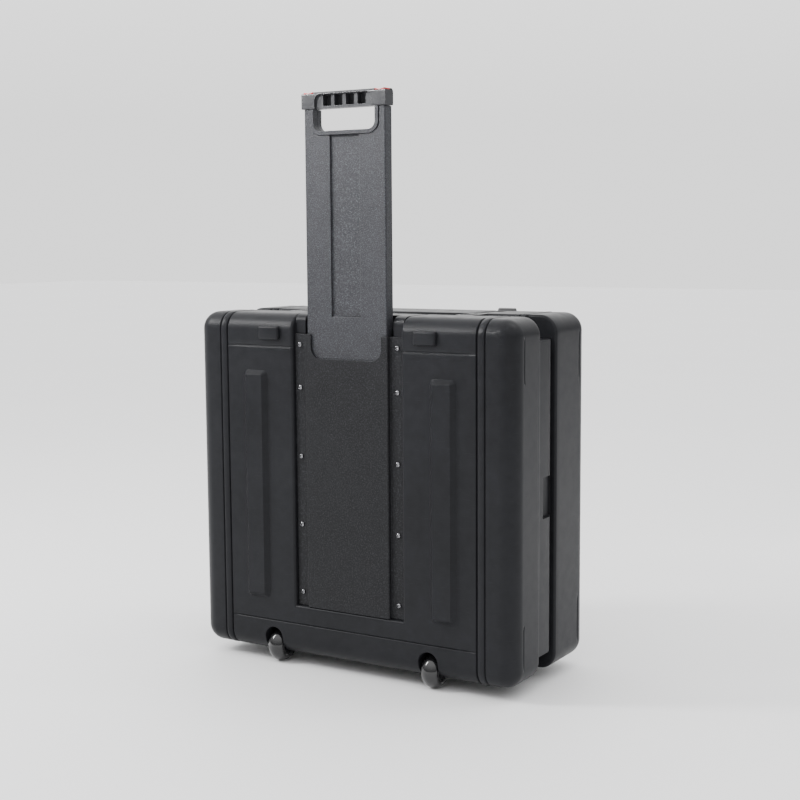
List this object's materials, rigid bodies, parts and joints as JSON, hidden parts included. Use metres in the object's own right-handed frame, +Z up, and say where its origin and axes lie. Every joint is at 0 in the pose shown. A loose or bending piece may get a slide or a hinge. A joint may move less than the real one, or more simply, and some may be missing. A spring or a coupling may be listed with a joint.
{
  "type": "hard trolley carrying case",
  "caption": "Hard plastic trolley case with pull-out plate handle, thumb releases, wheels, hinged lid, latches and die-cut foam inside.",
  "frame": {"origin": "on the ground under the middle of the case's width and depth, the case standing on its wheels and front feet", "axes": "+Z up along the trolley handle, -Y out of the trolley side, +Y out of the lid, +X to the right seen from the trolley side"},
  "size_m": [0.56, 0.248, 0.873],
  "materials": {
    "shell_plastic": "satin",
    "grained_plastic": "matte",
    "black_plastic": "satin",
    "red_plastic": "satin",
    "wheel_rubber": "gloss",
    "soft_rubber": "matte",
    "bright_steel": "satin",
    "foam": "matte"
  },
  "bodies": {
    "rear": {"carry_mount_left": "black_plastic", "carry_mount_right": "black_plastic", "carry_pin_left": "bright_steel", "carry_pin_right": "bright_steel", "cover_screw_01": "bright_steel", "cover_screw_02": "bright_steel", "cover_screw_03": "bright_steel", "cover_screw_04": "bright_steel", "cover_screw_05": "bright_steel", "cover_screw_06": "bright_steel", "cover_screw_07": "bright_steel", "cover_screw_08": "bright_steel", "cover_screw_09": "bright_steel", "cover_screw_10": "bright_steel", "foam_base": "foam", "foam_insert": "foam", "handle_cover": "shell_plastic", "handle_guide_left": "black_plastic", "handle_guide_right": "black_plastic", "hinge_fixed_leaf_left": "bright_steel", "hinge_fixed_leaf_right": "bright_steel", "hinge_pin_left": "bright_steel", "hinge_pin_right": "bright_steel", "latch_keeper_left": "bright_steel", "latch_keeper_right": "bright_steel", "rear_foot_left": "black_plastic", "rear_foot_right": "black_plastic", "rear_shell": "shell_plastic", "rim_seal": "soft_rubber", "wheel_axle_left": "bright_steel", "wheel_axle_right": "bright_steel"},
    "handle": {"handle_plate": "grained_plastic", "handle_grip": "black_plastic", "hand_hole_frame": "grained_plastic", "bolt_spring_left": "bright_steel", "bolt_spring_right": "bright_steel"},
    "carry_handle": {"carry_handle": "black_plastic"},
    "lid": {"front_shell": "shell_plastic", "foam_lid": "foam", "hinge_moving_leaf_left": "bright_steel", "hinge_moving_leaf_right": "bright_steel", "front_foot_left": "soft_rubber", "front_foot_right": "soft_rubber", "latch_pin_left": "bright_steel", "latch_pin_right": "bright_steel"},
    "button_left": {"release_button_left": "red_plastic", "release_rod_left": "bright_steel"},
    "bolt_left": {"lock_bolt_left": "black_plastic"},
    "wheel_left": {"wheel_tyre_left": "wheel_rubber", "wheel_hub_left": "black_plastic"},
    "latch_left": {"latch_left": "black_plastic"},
    "button_right": {"release_button_right": "red_plastic", "release_rod_right": "bright_steel"},
    "bolt_right": {"lock_bolt_right": "black_plastic"},
    "wheel_right": {"wheel_tyre_right": "wheel_rubber", "wheel_hub_right": "black_plastic"},
    "latch_right": {"latch_right": "black_plastic"}
  },
  "joints": [
    {"name": "handle_slide", "type": "slide", "parent": "rear", "child": "handle", "axis": [0, 0, 1], "range_m": [-0.326, 0]},
    {"name": "lid_hinge", "type": "hinge", "parent": "rear", "child": "lid", "pos_m": [0, 0.009, 0.0455], "axis": [-1, 0, 0], "range_deg": [0, 100]},
    {"name": "carry_handle_hinge", "type": "hinge", "parent": "rear", "child": "carry_handle", "pos_m": [0, -0.024, 0.523], "axis": [1, 0, 0], "range_deg": [0, 90]},
    {"name": "button_left_press", "type": "slide", "parent": "handle", "child": "button_left", "axis": [0, 0, -1], "range_m": [0, 0.004], "stiffness_N_per_m": 600, "springref_m": -0.004},
    {"name": "bolt_left_slide", "type": "slide", "parent": "handle", "child": "bolt_left", "axis": [1, 0, 0], "range_m": [0, 0.003], "deforming": ["bolt_spring_left"]},
    {"name": "wheel_left_spin", "type": "hinge", "parent": "rear", "child": "wheel_left", "pos_m": [-0.139, -0.098, 0.026], "axis": [1, 0, 0], "continuous": true},
    {"name": "latch_left_hinge", "type": "hinge", "parent": "lid", "child": "latch_left", "pos_m": [-0.15, 0.111, 0.544], "axis": [-1, 0, 0], "range_deg": [0, 110]},
    {"name": "button_right_press", "type": "slide", "parent": "handle", "child": "button_right", "axis": [0, 0, -1], "range_m": [0, 0.004], "stiffness_N_per_m": 600, "springref_m": -0.004},
    {"name": "bolt_right_slide", "type": "slide", "parent": "handle", "child": "bolt_right", "axis": [-1, 0, 0], "range_m": [0, 0.003], "deforming": ["bolt_spring_right"]},
    {"name": "wheel_right_spin", "type": "hinge", "parent": "rear", "child": "wheel_right", "pos_m": [0.139, -0.098, 0.026], "axis": [1, 0, 0], "continuous": true},
    {"name": "latch_right_hinge", "type": "hinge", "parent": "lid", "child": "latch_right", "pos_m": [0.15, 0.111, 0.544], "axis": [-1, 0, 0], "range_deg": [0, 110]}
  ],
  "couplings": [
    {"joint": "bolt_left_slide", "follows": "button_left_press", "ratio": 0.75},
    {"joint": "bolt_right_slide", "follows": "button_right_press", "ratio": 0.75}
  ]
}
